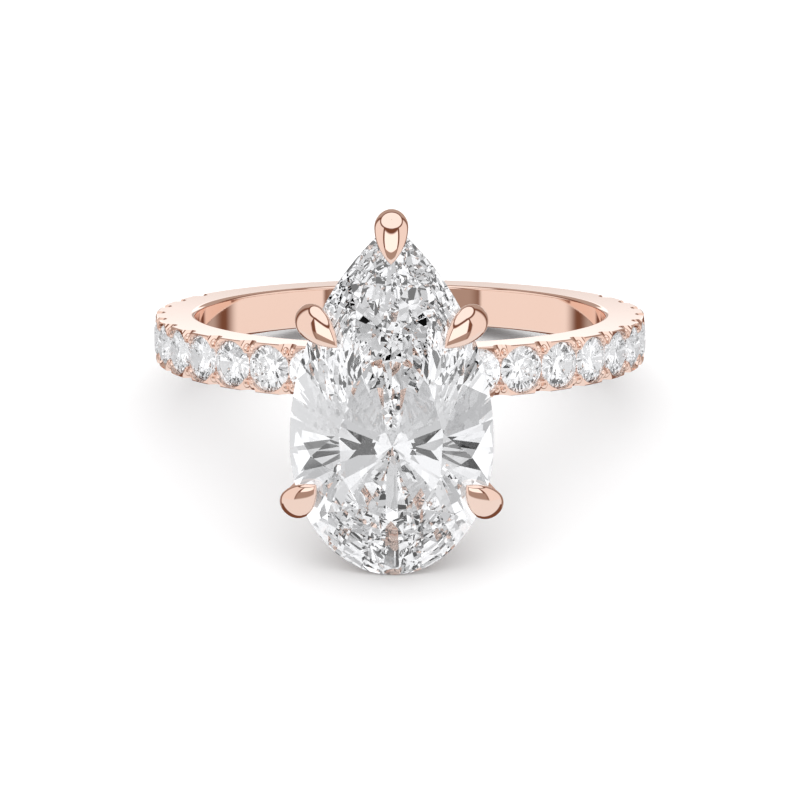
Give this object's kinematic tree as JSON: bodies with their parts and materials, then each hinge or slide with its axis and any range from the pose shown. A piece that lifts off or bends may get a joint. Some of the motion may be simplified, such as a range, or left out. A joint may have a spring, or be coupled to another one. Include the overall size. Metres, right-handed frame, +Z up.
{
  "type": "engagement ring",
  "caption": "Solitaire engagement ring: pear-cut stone in a claw basket with gallery rails on a tapered shank with a scalloped pave front.",
  "frame": {"origin": "on the surface that the ring lies on, under the middle of the ring's bounding box", "axes": "+Z up off the surface; the head stands towards -Y and the back of the shank towards +Y; +X across the finger. The ring leans 14.4 degrees about X, resting on the back edge of the shank and the round end of the pear"},
  "size_m": [0.0206, 0.0262, 0.0139],
  "materials": {
    "rose_gold": "mirror-polished 14 carat rose gold",
    "diamond": "colourless diamond, polished facets",
    "melee_diamond": "colourless melee diamond, polished facets"
  },
  "bodies": {
    "root": {"shank": "rose_gold", "head_base": "rose_gold", "gallery_rail_lower": "rose_gold", "gallery_rail_upper": "rose_gold", "claw_point": "rose_gold", "claw_shoulder_left": "rose_gold", "claw_shoulder_right": "rose_gold", "claw_lower_left": "rose_gold", "claw_lower_right": "rose_gold", "pear_stone": "diamond", "melee_left_01": "melee_diamond", "melee_left_02": "melee_diamond", "melee_left_03": "melee_diamond", "melee_left_04": "melee_diamond", "melee_left_05": "melee_diamond", "melee_left_06": "melee_diamond", "melee_left_07": "melee_diamond", "melee_left_08": "melee_diamond", "melee_left_09": "melee_diamond", "melee_left_10": "melee_diamond", "melee_right_01": "melee_diamond", "melee_right_02": "melee_diamond", "melee_right_03": "melee_diamond", "melee_right_04": "melee_diamond", "melee_right_05": "melee_diamond", "melee_right_06": "melee_diamond", "melee_right_07": "melee_diamond", "melee_right_08": "melee_diamond", "melee_right_09": "melee_diamond", "melee_right_10": "melee_diamond"}
  },
  "joints": []
}
